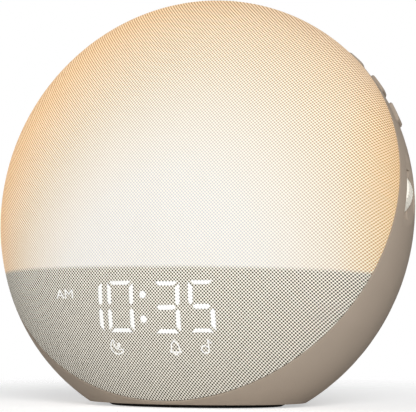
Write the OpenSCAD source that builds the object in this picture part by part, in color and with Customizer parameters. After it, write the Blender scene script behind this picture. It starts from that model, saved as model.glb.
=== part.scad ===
/* [Body] */
// Width of the round body, seen from the front
body_w = 150; // [130:1:180]
// Thickness of the body along its own short axis, as a share of its width
flatness = 0.646; // [0.6:0.002:0.7]
// How far the body leans back, in degrees
lean = 7.1; // [4:0.1:9]
// Height of the body's centre above the table, as a share of the width
stand = 0.434; // [0.42:0.002:0.45]
// Wall of the moulded housing
wall = 2.2; // [1.8:0.1:2.6]
// How far the rubber foot stands below the housing
foot_h = 1.2; // [0.8:0.1:1.8]
// Thickness of the housing's floor
floor_t = 2.4; // [2:0.1:3]

/* [Seam] */
// How far the seam's plane leans back, in degrees
seam_tilt = 18.9; // [16:0.1:21]
// Distance from the body's centre to the seam's plane
seam_offset = 8.6; // [7.5:0.1:10]
// Shadow gap between the housing's lip and the cloth
seam_gap = 0.6; // [0.4:0.1:0.8]
// Thickness of the housing's outer lip at the seam
lip_t = 0.8; // [0.6:0.1:1]
// How deep the front ring is let into the housing
ring_lap = 1; // [0.8:0.1:1.4]
// How far the front ring reaches in from the body's surface
ring_reach = 7.5; // [7:0.1:8]
// Height of the spigot that centres the ring in the housing
spigot_h = 1.8; // [1.6:0.1:2]
// Thickness of the spigot
spigot_t = 2; // [1.6:0.1:2.4]

/* [Front] */
// Thickness of the knitted cloth
cloth_t = 0.9; // [0.6:0.1:1.2]
// Thickness of the diffuser and the display panel
dome_t = 2; // [1.6:0.1:2.4]
// How far the light divider lies below the centre, as a share of the body's radius
divider_share = 0.2867; // [0.27:0.001:0.29]
// Slope of the light divider, down to the back, in degrees
divider_tilt = 2.6; // [0:0.1:4]
// Thickness of the light divider
divider_t = 1.6; // [1.2:0.1:1.7]
// Wall of the white reflector
reflector_t = 1.5; // [1.2:0.1:1.8]
// Depth of the reflector's floor behind its flange
reflector_depth = 5.3; // [5:0.1:5.6]

/* [Lamp] */
// Width of the lamp board
lamp_board_w = 92; // [88:1:96]
// Height of the lamp board
lamp_board_h = 42; // [40:1:44]
// Lamps in each row
lamp_columns = 5; // [3:2:7]
// Rows of lamps
lamp_rows = 3; // [2:1:3]
// Distance between lamps across a row
lamp_pitch_x = 13; // [10:1:13]
// Distance between the rows
lamp_pitch_y = 11; // [9:1:12]
// Side of one square lamp
lamp_w = 5; // [3.5:0.1:5.2]
// Height of one lamp
lamp_h = 1.8; // [1.4:0.1:2]

/* [Display] */
// Height of a digit
digit_h = 16.6; // [15:0.1:17]
// Width of a digit
digit_w = 9.3; // [9:0.1:9.5]
// Width of a segment's stroke
stroke = 1.5; // [1.3:0.1:1.7]
// Gap between two segments
stroke_gap = 0.5; // [0.4:0.1:0.6]
// Slant of the digits, in degrees
digit_slant = 4; // [0:1:7]
// Diameter of a colon dot
colon_d = 2.2; // [1.6:0.1:2.6]
// Distance between the colon dots
colon_pitch = 8.4; // [7:0.1:9]
// How far the digits' middle line lies below the centre, as a share of the body's radius
display_share = 0.4333; // [0.43:0.001:0.436]
// Diameter of an indicator's light guide
sign_d = 5; // [4:0.1:5.2]
// How far the indicator row lies below the centre, as a share of the body's radius
sign_share = 0.6027; // [0.598:0.001:0.605]
// How far the display board lies behind the body's foremost point
display_inset = 24.4; // [24:0.1:25]

/* [Keys] */
// Angle of the middle key around the seam, up from the right
key_angle = 36.75; // [36:0.05:37.5]
// Angle between two keys
key_step = 10; // [9.8:0.1:10.2]
// Length of a key along the seam
key_l = 7.8; // [7.2:0.1:8]
// Width of a key, front to back
key_w = 6.4; // [6:0.1:7]
// Distance from the seam to the near edge of the keys
key_edge = 4.3; // [4.1:0.1:4.8]
// How far a key stands out of the housing
key_proud = 1; // [0.7:0.05:1.2]
// Corner radius of a key
key_r = 1.6; // [1:0.1:2]
// Distance from the body's side in to the keys' board
key_board_inset = 15; // [14.5:0.1:15.2]
// Travel of a key
key_travel = 0.6; // [0.4:0.05:0.7]
// Gap around a key in its opening
key_gap = 0.15; // [0.1:0.01:0.2]

/* [Thumbwheel] */
// Angle of the wheel around the seam, up from the right
wheel_angle = 4.1; // [3:0.1:5]
// Diameter of the wheel
wheel_d = 17.4; // [16.4:0.1:17.5]
// Width of the wheel
wheel_w = 4.9; // [4:0.1:5]
// Distance from the body's side in to the wheel's axis
wheel_inset = 8.3; // [8.1:0.1:8.5]
// Distance from the seam to the near wall of the wheel's slot
wheel_edge = 4.5; // [4.4:0.1:4.8]
// Gap on each side of the wheel in its slot
wheel_gap = 0.3; // [0.2:0.05:0.4]
// Length of the slot
slot_l = 17.6; // [17.5:0.1:18]
// Grip grooves around the wheel
groove_count = 48; // [24:1:60]
// Diameter of a grip groove
groove_d = 0.5; // [0.3:0.05:0.6]
// Diameter of the wheel's shaft
shaft_d = 4; // [3:0.1:4]
// Depth of the finger scoop at its near wall
scoop_depth = 2.2; // [1.8:0.1:2.4]
// Slope of the scoop's floor, in degrees
scoop_slope = 13.5; // [12:0.1:15]
// Radius of the scoop's floor
scoop_r = 45; // [40:1:50]

/* [Speaker] */
// Height of the speaker's axis above the body's centre
speaker_up = 8; // [6:0.5:9]
// Ledge of the grille around the speaker's opening
grille_ledge = 3; // [2:0.5:3.5]
// Thickness of the grille
grille_t = 1.7; // [1.4:0.1:2]
// Diameter of one grille hole
grille_hole_d = 2; // [1.6:0.1:2.4]
// Distance between grille holes
grille_pitch = 3.6; // [3.2:0.1:5]
// Diameter of the speaker's flange
flange_d = 62; // [61:0.5:63]
// Diameter of the magnet
magnet_d = 30; // [26:0.5:32]
// Height of the magnet
magnet_h = 8; // [6:0.5:9]
// Distance from the body's rearmost point forward to the speaker's seat
speaker_inset = 11.4; // [11:0.1:11.8]

/* [Electronics] */
// Thickness of the circuit boards
board_t = 1.6; // [1.2:0.1:1.6]
// Width of the main board
main_w = 58; // [56:1:60]
// Height of the main board
main_h = 26; // [25:1:27]
// Distance from the body's rearmost point forward to the main board
main_inset = 24.4; // [24:0.1:25.4]
// How far the main board's middle lies below the centre, as a share of the body's radius
main_share = 0.493; // [0.487:0.001:0.5]
// How far the power socket's axis lies below the middle of the main board
jack_offset = 6.6; // [6:0.1:7]
// Bore of the power socket
jack_bore_d = 5.7; // [5.5:0.1:6.5]
// Diameter of the power socket's centre pin
jack_pin_d = 2; // [1.6:0.1:2.5]

/* [Screws] */
// Angle between the seam's top and each upper housing screw
tower_upper = 26; // [24:1:27]
// Angle between the seam's right or left end and each lower housing screw
tower_lower = 35; // [33:1:37]
// Distance from the body's side in to the housing screws
tower_inset = 8.5; // [8.2:0.1:8.8]
// Diameter of a screw tower
tower_d = 7; // [6.6:0.1:7.4]
// Diameter of a housing screw
screw_d = 3; // [2.5:0.1:3]
// Head diameter of a housing screw
screw_head_d = 5.6; // [5:0.1:5.8]
// Diameter of the small board screws
small_screw_d = 2; // [1.8:0.1:2]
// Head diameter of the small board screws
small_head_d = 3.8; // [3.4:0.1:4]
// Clearance between a screw and its hole
screw_play = 0.05; // [0.03:0.01:0.1]

/* [Hidden] */

$fn = 96;
big = 260;                                  // larger than the whole clock
body_r = body_w / 2;
half_t = flatness * body_r;
squash = pow(body_r / half_t, 2) - 1;        // how much faster the body closes to front and back
centre_h = stand * body_w;
fit_gap = 0.05;                             // between pieces that are glued or pressed together
clear = 0.3;                                // between pieces that only lie near each other
ring_back = seam_offset - ring_lap;         // rear face of the front ring
ring_front = seam_offset + seam_gap;        // front face of the front ring, where the cloth ends
spigot_back = ring_back - spigot_h;
skin_in = cloth_t + fit_gap;                // outer face of the diffuser and the panel
dome_in = skin_in + dome_t;                 // inner face of both
hoop_w = 1.6;                               // width of the diffuser's hoop below the divider
divider_drop = divider_share * body_r;
floor_z = foot_h + floor_t;
foot_recess = 0.6;
foot_inset = 2.8;
tower_angles = [90 - tower_upper, 90 + tower_upper, 180 + tower_lower, 360 - tower_lower];
tower_reach = body_r - tower_inset;
tower_front = spigot_back - 4;              // where a screw tower meets its boss on the ring
head_h = 2;
tower_seat = -4;                            // where a housing screw's head sits
reflector_in = ring_reach + clear;          // outer side of the reflector's wall
reflector_back = ring_front - reflector_depth;
lamp_board_front = reflector_back;
lamp_board_v = 6;                           // middle of the lamp board above the body's centre
lamp_screw_x = lamp_board_w / 2 - 4;
lamp_screw_y = lamp_board_h / 2 - 5;
lamp_boss_h = 3;
key_z = seam_offset - key_edge - key_w / 2;
key_flange = 0.9;                           // the rim that keeps a key in the housing
key_flange_t = 1.2;
key_board_x = body_r - key_board_inset;     // inner face of the key board
key_board_l = 47;
key_board_w = 8.2;
switch_back = 1.6;                          // how far a switch lies behind the middle of its key
key_board_z = key_z - switch_back;
key_post_y = 20.7;
switch_w = 6;
switch_h = 3.5;
switch_floor = 0.4;
switch_base = key_board_x + board_t;
plunger_d = 3.2;
plunger_out = key_travel + 0.3;             // how far a plunger stands out of its switch at rest
stem_d = 3.2;
stem_end = switch_h + plunger_out + fit_gap; // where a key's stem ends, out from its switch's foot
wheel_reach = body_r - wheel_inset;
wheel_front = seam_offset - wheel_edge - wheel_gap;
wheel_back = wheel_front - wheel_w;
slot_back = wheel_back - wheel_gap;
encoder_size = [6, 10, 4.2];
encoder_front = wheel_back - 0.9;
encoder_back = encoder_front - encoder_size[2];
wheel_board_x = [wheel_reach - 13.7, wheel_reach + 2.8];
wheel_board_l = 19;
wheel_post_x = wheel_reach - 10.2;
wheel_post_y = 6.5;
scoop_end = 14.5;                           // how far behind the seam the scoop has run out
speaker_hole_d = flange_d - 16;
grille_d = speaker_hole_d + 2 * grille_ledge;
speaker_screw_r = flange_d / 2 - 3.5;
speaker_seat = half_t - speaker_inset;
gasket_t = 0.8;
flange_t = 1.5;
basket_h = 12;
basket_t = 1.2;
cone_lap = 1.2;                             // how far the flange reaches in behind the cone's rim
speaker_front = speaker_seat - gasket_t - flange_t;
main_back = half_t - main_inset;
main_drop = main_share * body_r;
jack_drop = main_drop + jack_offset;
main_post_x = main_w / 2 - 4;
main_post_y = main_h / 2 - 4;
jack_len = 12;
jack_body = [9, 11, 9];
jack_nose_d = 8.6;
jack_recess_d = 12;
chip_t = 1.2;
cap_d = 8;
cap_h = 9;
ribbon_w = 10;                              // the flat cables and their plugs
ribbon_t = 0.4;
plug_h = 3;
plug_size = [13, 4.4];
plug_lift = 2 * fit_gap;                    // from a plug's face to its cable
display_plug = [-8, 3];                     // from the body's middle, and up from the digits' middle line
lamp_plug = [14, -8];                       // on the lamp board's back, in the seam's frame
main_plug_y = 6;                            // up from the main board's middle
display_drop = display_share * body_r;
sign_drop = sign_share * body_r;
display_board_y = half_t - display_inset;
digits_x = [-7.4, 8.9, 20.7];               // middles of the three whole digits
half_digit_x = -15.0;                       // middle of the leading one
colon_x = 0.76;
am_x = -29.6;
am_z = 4.35 - display_drop;
am_size = [8.2, 3.3];
signs_x = [-11, 10.3, 20.2];
mask_edge = 1;                              // from the windows out to the mask's edge
mask_x = [am_x - am_size[0] / 2 - mask_edge, 31];
mask_z = [-sign_drop - sign_d / 2 - mask_edge, digit_h / 2 + mask_edge - display_drop];
display_screws_at = [[mask_x[0] + 3, -display_drop - 5.5], [mask_x[1] - 3, -display_drop + 0.5]];
led_w = 1.1;
led_h = 0.8;

// One segment's middle and whether it stands upright, in an upright digit.
seg_x = digit_w / 2 - stroke / 2;
seg_y = digit_h / 2 - stroke / 2;
segment_places = [
    ["a", [0, seg_y], false], ["g", [0, 0], false], ["d", [0, -seg_y], false],
    ["b", [seg_x, seg_y / 2], true], ["c", [seg_x, -seg_y / 2], true],
    ["e", [-seg_x, -seg_y / 2], true], ["f", [-seg_x, seg_y / 2], true]];

housing_colour = [0.60, 0.55, 0.50];
cloth_colour = [0.86, 0.82, 0.74];
opal = [0.98, 0.94, 0.86, 0.8];
board_green = [0.10, 0.36, 0.22];
steel = [0.75, 0.76, 0.78];
near_black = [0.08, 0.08, 0.09];
white = [0.94, 0.94, 0.92];

// ---- frames ------------------------------------------------------------

// Origin at the middle of the body, axes as the table's.
module centred() {
    translate([0, 0, centre_h]) children();
}

// +Z runs forward along the body's short axis and +Y runs up it.
module body_frame() {
    centred() rotate([90 - lean, 0, 0]) children();
}

// +Z runs forward, square to the seam, and +X, +Y lie in the seam's plane.
module seam_frame() {
    centred() rotate([90 - seam_tilt, 0, 0]) children();
}

// As seam_frame, with +X turned to point outward at an angle around the seam.
module side_frame(angle) {
    seam_frame() rotate([0, 0, angle]) children();
}

// ---- the body's form ---------------------------------------------------

// The oblate body, taken in by an inset on every side.
module form(inset = 0) {
    r = body_r - inset;
    t = half_t - inset;
    body_frame() rotate_extrude() intersection() {
        scale([1, t / r]) circle(r);
        translate([0, -t]) square([r, 2 * t]);
    }
}

// The same body for the pieces of the front, turned about the axis that makes the seam one of its parallels.
module front_form(inset = 0) {
    r = body_r - inset;
    t = half_t - inset;
    d = seam_tilt - lean;
    body_frame() scale([1, 1, t / r]) rotate([-atan2(r * sin(d), t * cos(d)), 0, 0])
        rotate_extrude() intersection() {
            circle(r);
            translate([0, -r]) square([r, 2 * r]);
        }
}

module front_skin(outer, inner) {
    difference() {
        front_form(outer);
        front_form(inner);
    }
}

// The skin between two insets.
module skin(outer, inner) {
    difference() {
        form(outer);
        form(inner);
    }
}

// A layer square to the seam's plane, between two distances from the body's centre.
module seam_layer(from, to = big) {
    seam_frame() translate([-big / 2, -big / 2, from]) cube([big, big, to - from]);
}

// A level layer between two heights above the table.
module level(from, to) {
    translate([-big / 2, -big / 2, from]) cube([big, big, to - from]);
}

// A layer along the divider: 0 is its upper face, and heights count up from there.
module divider_layer(from, to) {
    centred() translate([0, 0, -divider_drop]) rotate([-divider_tilt, 0, 0])
        translate([-big / 2, -big / 2, from]) cube([big, big, to - from]);
}

// ---- shared small shapes -----------------------------------------------

// A rounded rectangle, drawn from squares and circles so that its corners stay true.
module rounded(x, y, r) {
    square([x - 2 * r, y], center = true);
    square([x, y - 2 * r], center = true);
    for (i = [-1, 1], j = [-1, 1])
        translate([i * (x / 2 - r), j * (y / 2 - r)]) circle(r);
}

// A screw with its head's underside at 0 and its shank running to +Z.
module screw(d, length, head) {
    difference() {
        union() {
            translate([0, 0, -head_h]) cylinder(d = head, h = head_h);
            cylinder(d = d, h = length);
        }
        for (a = [0, 90])
            rotate([0, 0, a]) translate([-head / 3, -0.4, -head_h - 1]) cube([head * 2 / 3, 0.8, 2]);
    }
}

module small_screw(length) {
    screw(small_screw_d, length, small_head_d);
}

module pilot(length) {
    cylinder(d = small_screw_d + 2 * screw_play, h = length);
}

// ---- rear housing ------------------------------------------------------

module at_towers() {
    for (a = tower_angles)
        side_frame(a) translate([tower_reach, 0, 0]) children();
}

module at_speaker() {
    body_frame() translate([0, speaker_up, 0]) children();
}

module at_speaker_screws() {
    at_speaker() for (i = [0 : 3])
        rotate([0, 0, 45 + 90 * i]) translate([speaker_screw_r, 0, 0]) children();
}

module at_main_posts() {
    body_frame() translate([0, -main_drop, 0])
        for (i = [-1, 1], j = [-1, 1])
            translate([i * main_post_x, j * main_post_y, 0]) children();
}

module at_jack() {
    body_frame() translate([0, -jack_drop, 0]) children();
}

// One key's place: +Z points out along the travel, which all three share, and +X to the back.
module at_key(step) {
    side_frame(key_angle) translate([0, body_r * sin(step * key_step), key_z]) rotate([0, 90, 0]) children();
}

module at_switch(step) {
    at_key(step) translate([switch_back, 0, switch_base]) children();
}

module at_key_posts() {
    side_frame(key_angle) for (j = [-1, 1])
        translate([key_board_x, j * key_post_y, key_board_z]) rotate([0, 90, 0]) children();
}

module at_wheel() {
    side_frame(wheel_angle) translate([wheel_reach, 0, 0]) children();
}

module at_wheel_posts() {
    side_frame(wheel_angle) for (j = [-1, 1])
        translate([wheel_post_x, j * wheel_post_y, encoder_back - board_t]) rotate([180, 0, 0]) children();
}

// The finger scoop's floor: a cylinder that leans out to the back, grown inward by a margin.
module scoop(margin = 0) {
    intersection() {
        side_frame(wheel_angle)
            translate([body_r - scoop_depth + scoop_r, 0, seam_offset - wheel_edge])
            rotate([180, -scoop_slope, 0])
            translate([0, 0, -scoop_end])
            cylinder(r = scoop_r + margin, h = 3 * scoop_end, $fn = 200);
        seam_layer(seam_offset - scoop_end, seam_offset - wheel_edge + margin);
    }
}

module housing_inside() {
    intersection() {
        form(wall / 2);
        union() {
            level(foot_h, floor_z);
            at_towers() translate([0, 0, tower_front - body_r]) cylinder(d = tower_d, h = body_r);
            at_speaker() translate([0, 0, -half_t]) cylinder(d = flange_d, h = half_t - speaker_seat);
            at_main_posts() translate([0, 0, -half_t])
                cylinder(d = 6, h = half_t - main_back - board_t);
            at_jack() translate([0, 0, -half_t])
                cylinder(d = jack_recess_d + 3.4, h = half_t - main_back - board_t - jack_body[2]);
            at_key_posts() translate([0, 0, board_t]) cylinder(d = 5, h = body_r - key_board_x);
            at_wheel_posts() cylinder(d = 5, h = half_t);
            intersection() {
                scoop(wall);
                side_frame(wheel_angle) translate([0, -17, -body_r]) cube([body_w, 34, body_w]);
            }
        }
    }
}

module housing_cuts() {
    // room for the front ring and its spigot
    intersection() {
        form(lip_t);
        seam_layer(ring_back);
    }
    intersection() {
        form(wall + fit_gap);
        seam_layer(spigot_back - clear);
    }
    seam_layer(seam_offset);
    level(-big, foot_h);
    // recess for the foot
    intersection() {
        form(foot_inset);
        level(foot_h - 1, foot_h + foot_recess);
    }
    // housing screws, countersunk from behind
    at_towers() translate([0, 0, -body_w]) cylinder(d = screw_d + 0.4, h = 2 * body_w);
    at_towers() translate([0, 0, -body_w]) cylinder(d = screw_head_d + 0.8, h = body_w + tower_seat);
    // stepped opening for the speaker and its grille
    at_speaker() translate([0, 0, -body_w]) cylinder(d = speaker_hole_d, h = body_w);
    difference() {
        at_speaker() translate([0, 0, -body_w]) cylinder(d = grille_d + 2 * clear, h = body_w - 20);
        form(grille_t + fit_gap);
    }
    at_speaker_screws() translate([0, 0, -speaker_seat - 4]) pilot(5);
    at_main_posts() translate([0, 0, -main_back - board_t - 5]) pilot(6);
    // power socket: its body, its nose and a recess for the plug's sleeve
    at_jack() translate([0, 0, -main_back - board_t - jack_body[2] / 2])
        cube([jack_body[0] + 2 * clear, jack_body[1] + 2 * clear, jack_body[2]], center = true);
    at_jack() translate([0, 0, -body_w]) cylinder(d = jack_nose_d + 2 * clear, h = body_w);
    at_jack() translate([0, 0, -body_w])
        cylinder(d = jack_recess_d, h = body_w - main_back - board_t - jack_len + 0.4);
    // scoop and slot of the thumbwheel
    scoop();
    side_frame(wheel_angle) translate([wheel_reach - wheel_d, -slot_l / 2, slot_back])
        cube([2 * wheel_d, slot_l, seam_offset - wheel_edge - slot_back]);
    at_wheel_posts() translate([0, 0, -1]) pilot(6);
    // key openings
    for (step = [-1 : 1])
        at_key(step) linear_extrude(body_r + 10)
            rounded(key_w + 2 * key_gap, key_l + 2 * key_gap, key_r + key_gap);
    at_key_posts() pilot(7);
}

module rear_housing() {
    color(housing_colour) difference() {
        union() {
            skin(0, wall);
            housing_inside();
        }
        housing_cuts();
    }
}

module foot_pad() {
    color(near_black) intersection() {
        form(foot_inset + fit_gap);
        level(0, foot_h + foot_recess);
        seam_layer(-big, ring_back);
    }
}

// ---- front -------------------------------------------------------------

module front_ring() {
    color(near_black) difference() {
        union() {
            intersection() {
                skin(lip_t + fit_gap, ring_reach);
                seam_layer(ring_back, ring_front);
            }
            intersection() {
                skin(wall + 2 * fit_gap, wall + 2 * fit_gap + spigot_t);
                seam_layer(spigot_back, ring_back);
            }
            intersection() {
                form(wall + 2 * fit_gap);
                at_towers() translate([0, 0, tower_front + fit_gap])
                    cylinder(d = tower_d, h = ring_front - tower_front - fit_gap);
            }
        }
        at_towers() translate([0, 0, tower_front - 1])
            cylinder(d = screw_d + 2 * screw_play, h = ring_front - tower_front);
    }
}

module display_panel() {
    color(near_black) difference() {
        intersection() {
            skin(skin_in, dome_in);
            seam_layer(ring_front + hoop_w + fit_gap);
            divider_layer(-big / 2, -fit_gap);
        }
        centred() translate([mask_x[0] - clear, -big, mask_z[0] - clear])
            cube([mask_x[1] - mask_x[0] + 2 * clear, big, mask_z[1] - mask_z[0] + 2 * clear]);
    }
}

// The opal dome, with a narrow hoop that runs on around the display panel.
module diffuser() {
    color(opal) intersection() {
        front_skin(skin_in, dome_in);
        union() {
            seam_layer(ring_front, ring_front + hoop_w);
            intersection() {
                seam_layer(ring_front);
                divider_layer(0, big);
            }
        }
    }
}

module front_cloth() {
    color(cloth_colour) intersection() {
        front_skin(0, cloth_t);
        seam_layer(ring_front);
    }
}

module light_divider() {
    color(white) intersection() {
        divider_layer(-divider_t, 0);
        union() {
            intersection() {
                form(dome_in + fit_gap);
                seam_layer(ring_front + fit_gap);
            }
            intersection() {
                form(reflector_in);
                seam_layer(reflector_back, ring_front + 1);
            }
        }
    }
}

module at_lamps() {
    seam_frame() for (i = [0 : lamp_columns - 1], j = [0 : lamp_rows - 1])
        translate([(i - (lamp_columns - 1) / 2) * lamp_pitch_x,
                   lamp_board_v + (j - (lamp_rows - 1) / 2) * lamp_pitch_y, lamp_board_front]) children();
}

module at_lamp_screws() {
    seam_frame() for (i = [-1, 1], j = [-1, 1])
        translate([i * lamp_screw_x, lamp_board_v + j * lamp_screw_y, lamp_board_front - board_t]) children();
}

module reflector() {
    color(white) difference() {
        intersection() {
            union() {
                intersection() {
                    form(reflector_in);
                    seam_layer(reflector_back, reflector_back + reflector_t);
                }
                intersection() {
                    skin(reflector_in, reflector_in + reflector_t);
                    seam_layer(reflector_back, ring_front + 1);
                }
                intersection() {
                    skin(dome_in + 1, reflector_in + reflector_t);
                    seam_layer(ring_front, ring_front + 1);
                }
                at_lamp_screws() translate([0, 0, board_t]) cylinder(d = 6, h = reflector_t + lamp_boss_h);
            }
            divider_layer(fit_gap, big);
        }
        at_towers() translate([0, 0, tower_front])
            cylinder(d = tower_d + 2 * clear, h = ring_front - tower_front);
        at_lamps() translate([0, 0, -1])
            linear_extrude(reflector_t + 2) square(lamp_w + 2 * clear, center = true);
        at_lamp_screws() pilot(board_t + reflector_t + 2);
    }
}

module lamp_board() {
    color(white) difference() {
        seam_frame() translate([0, lamp_board_v, lamp_board_front - board_t])
            linear_extrude(board_t) rounded(lamp_board_w, lamp_board_h, 3);
        at_lamp_screws() translate([0, 0, -1]) pilot(board_t + 2);
    }
}

module lamps() {
    color([1, 0.86, 0.45]) at_lamps() difference() {
        linear_extrude(lamp_h) square(lamp_w, center = true);
        translate([0, 0, lamp_h - 0.5]) cylinder(d = lamp_w * 0.76, h = 1);
    }
}

module lamp_screws() {
    color(steel) at_lamp_screws() small_screw(board_t + reflector_t + 1.5);
}

// ---- display -----------------------------------------------------------

// A point of an upright digit, moved over by the digits' slant.
function slanted(p) = [p[0] + p[1] * tan(digit_slant), p[1]];

// Outline of a lying segment with mitred ends, grown by a margin.
function bar_outline(length, grow) =
    let (tip = length / 2 - stroke_gap / sqrt(2) + grow * sqrt(2), half = stroke / 2 + grow)
    [[-tip, 0], [half - tip, -half], [tip - half, -half], [tip, 0], [tip - half, half], [half - tip, half]];

// Segments of one digit, grown by a margin. Letters name them as usual.
module segments(which, grow = 0) {
    for (place = segment_places, s = which)
        if (place[0] == s) {
            bar = bar_outline(place[2] ? seg_y : 2 * seg_x, grow);
            polygon([for (q = bar) slanted(place[1] + (place[2] ? [-q[1], q[0]] : q))]);
        }
}

// Everything that the display can light, as seen from the front, about the body's centre.
module display_windows(grow = 0) {
    translate([0, -display_drop]) {
        for (x = digits_x)
            translate([x, 0]) segments("abcdefg", grow);
        translate([half_digit_x - seg_x, 0]) segments("bc", grow);
        for (j = [-1, 1])
            translate([colon_x, j * colon_pitch / 2]) circle(d = colon_d + 2 * grow);
    }
    for (x = signs_x)
        translate([x, -sign_drop]) circle(d = sign_d + 2 * grow);
    translate([am_x, am_z]) square([am_size[0] + 2 * grow, am_size[1] + 2 * grow], center = true);
}

// Extrudes a front view from a distance in front of the centre to another.
module from_front(from, to) {
    centred() translate([0, -from, 0]) rotate([90, 0, 0]) linear_extrude(to - from) children();
}

module mask_outline(shrink = 0) {
    translate([mask_x[0] + shrink, mask_z[0] + shrink])
        square([mask_x[1] - mask_x[0] - 2 * shrink, mask_z[1] - mask_z[0] - 2 * shrink]);
}

module at_display_screws() {
    for (p = display_screws_at)
        centred() translate([p[0], -display_board_y + board_t, p[1]]) rotate([90, 0, 0]) children();
}

// The block that keeps the windows apart, glued behind the panel by its rim.
module display_mask() {
    color(near_black) difference() {
        union() {
            intersection() {
                form(skin_in + fit_gap);
                seam_layer(ring_front + fit_gap);
                from_front(display_board_y, half_t) mask_outline();
            }
            intersection() {
                skin(dome_in + fit_gap, dome_in + 1.5);
                seam_layer(ring_front + hoop_w + 1);
                divider_layer(-big / 2, -divider_t - fit_gap);
                from_front(display_board_y, half_t) mask_outline(-2.5);
            }
        }
        from_front(display_board_y - 1, half_t + 1) display_windows(fit_gap);
        at_display_screws() pilot(board_t + 5);
    }
}

module light_guides() {
    color(opal) intersection() {
        form(skin_in + fit_gap);
        from_front(display_board_y + 1.2, half_t) display_windows();
    }
}

module display_board() {
    color(board_green) difference() {
        from_front(display_board_y - board_t, display_board_y) mask_outline(clear);
        at_display_screws() translate([0, 0, -1]) pilot(board_t + 2);
    }
}

module led() {
    square(led_w, center = true);
}

module digit_leds(which) {
    for (place = segment_places, s = which)
        if (place[0] == s) translate(slanted(place[1])) led();
}

// One small lamp behind each window.
module display_leds() {
    color(white) from_front(display_board_y, display_board_y + led_h) {
        translate([0, -display_drop]) {
            for (x = digits_x)
                translate([x, 0]) digit_leds("abcdefg");
            translate([half_digit_x - seg_x, 0]) digit_leds("bc");
            for (j = [-1, 1])
                translate([colon_x, j * colon_pitch / 2]) led();
        }
        for (x = signs_x)
            translate([x, -sign_drop]) led();
        translate([am_x, am_z]) led();
    }
}

module display_screws() {
    color(steel) at_display_screws() small_screw(board_t + 4);
}

// ---- electronics -------------------------------------------------------

module main_board() {
    color(board_green) difference() {
        body_frame() translate([0, -main_drop, -main_back - board_t])
            linear_extrude(board_t) rounded(main_w, main_h, 2);
        at_main_posts() translate([0, 0, -main_back - board_t - 1]) pilot(board_t + 2);
    }
}

module chip(x, y, w, l, t = chip_t) {
    translate([x, y, t / 2]) cube([w, l, t], center = true);
}

module plug() {
    chip(0, 0, plug_size[0], plug_size[1], plug_h);
}

// Chips, a storage capacitor and the ribbon plugs.
module board_chips() {
    color(near_black) {
        body_frame() translate([0, -main_drop, -main_back]) {
            chip(main_w * 0.07, -main_h * 0.15, main_w * 0.19, main_w * 0.19);
            chip(-main_w * 0.17, -main_h * 0.19, main_w * 0.12, main_w * 0.09);
            chip(main_w * 0.31, -main_h * 0.17, main_w * 0.12, main_w * 0.09, 1.5 * chip_t);
            translate([-main_w * 0.33, -main_h * 0.08, 0]) cylinder(d = cap_d, h = cap_h);
            for (x = [display_plug[0], lamp_plug[0]])
                translate([x, main_plug_y, 0]) plug();
        }
        seam_frame() translate([lamp_plug[0], lamp_plug[1], lamp_board_front - board_t])
            rotate([180, 0, 0]) plug();
        centred() translate([display_plug[0], board_t - display_board_y, display_plug[1] - display_drop])
            rotate([-90, 0, 0]) plug();
    }
}

module main_screws() {
    color(steel) at_main_posts() translate([0, 0, -main_back]) rotate([180, 0, 0]) small_screw(board_t + 4);
}

module power_jack() {
    back = -main_back - board_t;
    color(near_black) at_jack() difference() {
        union() {
            translate([0, 0, back - jack_body[2] / 2]) cube(jack_body, center = true);
            translate([0, 0, back - jack_len]) cylinder(d = jack_nose_d, h = jack_len);
        }
        difference() {
            translate([0, 0, back - jack_len - 1]) cylinder(d = jack_bore_d, h = jack_len - 1.5);
            translate([0, 0, back - jack_len + 0.5]) cylinder(d = jack_pin_d, h = jack_len);
        }
    }
}

// Height and distance from the front of a point given in the seam's or the body's frame.
function from_frame(tilt, up, forward) =
    [up * sin(tilt) - forward * cos(tilt), up * cos(tilt) + forward * sin(tilt)];

// A flat cable across the clock: a shallow curve between two points of its side view.
module ribbon(x, a, b, slack) {
    steps = 16;
    line = [for (i = [0 : steps]) let (t = i / steps)
        a + (b - a) * t - [0, slack * sin(180 * t)]];
    outline = concat(line, [for (i = [steps : -1 : 0]) line[i] - [0, ribbon_t]]);
    color(white) centred() translate([x - ribbon_w / 2, 0, 0]) rotate([90, 0, 90])
        linear_extrude(ribbon_w) polygon(outline);
}

module lamp_ribbon() {
    a = from_frame(seam_tilt, lamp_plug[1], lamp_board_front - board_t - plug_h - fit_gap);
    b = from_frame(lean, main_plug_y - main_drop, -main_back + plug_h + plug_lift);
    ribbon(lamp_plug[0], a, b, 3);
}

module display_ribbon() {
    a = [-display_board_y + board_t + plug_h + fit_gap, display_plug[1] - display_drop];
    b = from_frame(lean, main_plug_y - main_drop, -main_back + plug_h + plug_lift);
    ribbon(display_plug[0], a, b, 2);
}

// ---- speaker -----------------------------------------------------------

module speaker_grille() {
    rows = ceil(speaker_hole_d / grille_pitch);
    color(housing_colour) difference() {
        intersection() {
            skin(0, grille_t);
            at_speaker() translate([0, 0, -body_w]) cylinder(d = grille_d, h = body_w);
        }
        at_speaker() for (i = [-rows : rows], j = [-rows : rows]) {
            p = [(i + (j % 2) / 2) * grille_pitch, j * grille_pitch * sin(60)];
            if (norm(p) < speaker_hole_d / 2 - grille_hole_d)
                translate([p[0], p[1], -body_w]) cylinder(d = grille_hole_d, h = body_w);
        }
    }
}

module speaker_gasket() {
    color(near_black) at_speaker() translate([0, 0, -speaker_seat]) difference() {
        cylinder(d = flange_d - 1, h = gasket_t);
        translate([0, 0, -1]) cylinder(d = speaker_hole_d + 1, h = gasket_t + 2);
        for (i = [0 : 3])
            rotate([0, 0, 45 + 90 * i]) translate([speaker_screw_r, 0, -1]) pilot(gasket_t + 2);
    }
}

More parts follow.
